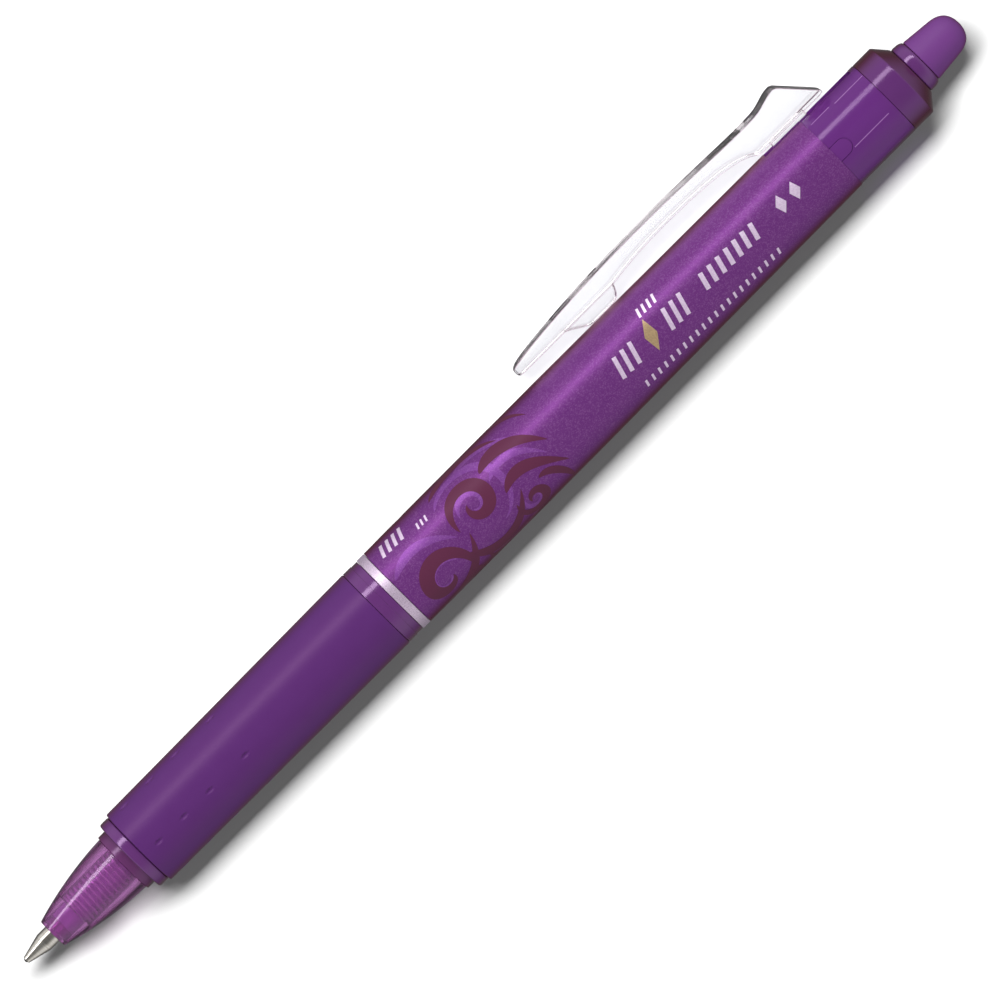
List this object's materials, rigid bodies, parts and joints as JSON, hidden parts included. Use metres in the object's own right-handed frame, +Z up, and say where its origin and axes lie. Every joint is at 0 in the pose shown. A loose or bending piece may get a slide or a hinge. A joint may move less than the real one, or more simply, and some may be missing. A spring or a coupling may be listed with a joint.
{
  "type": "retractable ball pen",
  "caption": "Retractable ball pen whose clear sprung clip slides to work the point, with a rubber grip, a pearl purple barrel and an eraser stud on its top cap.",
  "frame": {"origin": "on the pen's axis, halfway along the barrel's straight cylinder", "axes": "+X along the pen from the writing point to the eraser, +Z up as the pen lies at rest on its barrel and on a corner of its clip, +Y towards the side that the clip is on"},
  "size_m": [0.142, 0.0149, 0.0102],
  "materials": {
    "point_metal": "satin nickel silver",
    "spring_steel": "bright drawn wire",
    "clear_purple": "glossy translucent plastic",
    "clear_plastic": "glossy clear plastic",
    "grip_rubber": "satin",
    "sleeve_plastic": "glossy",
    "ring_silver": "fine metallic grain",
    "barrel_paint": "pearl purple paint with printed ornament",
    "cap_plastic": "glossy dark purple",
    "eraser_rubber": "matt",
    "inner_plastic": "natural",
    "refill_plastic": "translucent",
    "ink": "liquid",
    "follower": "clear gel"
  },
  "bodies": {
    "barrel": {"barrel": "barrel_paint", "cam_guide": "inner_plastic", "crown": "clear_purple", "top_cap": "cap_plastic", "eraser_collar": "sleeve_plastic", "eraser": "eraser_rubber"},
    "ring": {"trim_ring": "ring_silver"},
    "front": {"nose_cone": "clear_purple", "front_collar": "clear_purple", "front_sleeve": "sleeve_plastic", "grip": "grip_rubber", "rear_collar": "clear_purple", "return_spring": "spring_steel"},
    "refill": {"ball_tip": "point_metal", "tip_spring": "spring_steel", "tip_holder": "refill_plastic", "refill_tube": "refill_plastic", "ink": "ink", "ink_follower": "follower", "refill_plug": "inner_plastic"},
    "ball": {"ball": "point_metal"},
    "rotor": {"cam_rotor": "inner_plastic"},
    "plunger": {"plunger": "inner_plastic"},
    "clip": {"clip": "clear_plastic"}
  },
  "joints": [
    {"name": "clip_slide", "type": "slide", "parent": "barrel", "child": "plunger", "axis": [1, 0, 0], "range_m": [-0.001, 0.006]},
    {"name": "refill_slide", "type": "slide", "parent": "barrel", "child": "refill", "axis": [1, 0, 0], "range_m": [-0.001, 0.006], "deforming": ["return_spring"]},
    {"name": "rotor_turn", "type": "hinge", "parent": "refill", "child": "rotor", "pos_m": [0.0277, 0, 0], "axis": [1, 0, 0], "continuous": true},
    {"name": "ball_roll", "type": "hinge", "parent": "refill", "child": "ball", "pos_m": [-0.06895, 0, 0], "axis": [0, 1, 0], "continuous": true},
    {"name": "clip_flex", "type": "hinge", "parent": "plunger", "child": "clip", "pos_m": [0.0517, 0.0023, -0.00068], "axis": [0, -0.2826, -0.9592], "range_deg": [0, 4], "stiffness_Nm_per_rad": 2},
    {"name": "front_slide", "type": "slide", "parent": "barrel", "child": "ring", "axis": [-1, 0, 0], "range_m": [0, 0.00625]},
    {"name": "front_turn", "type": "hinge", "parent": "ring", "child": "front", "pos_m": [-0.0133, 0, 0], "axis": [-1, 0, 0], "range_deg": [0, 1800]}
  ],
  "couplings": [
    {"joint": "refill_slide", "follows": "clip_slide", "ratio": 1},
    {"joint": "front_turn", "follows": "front_slide", "rad_per_m": 5026.5}
  ]
}
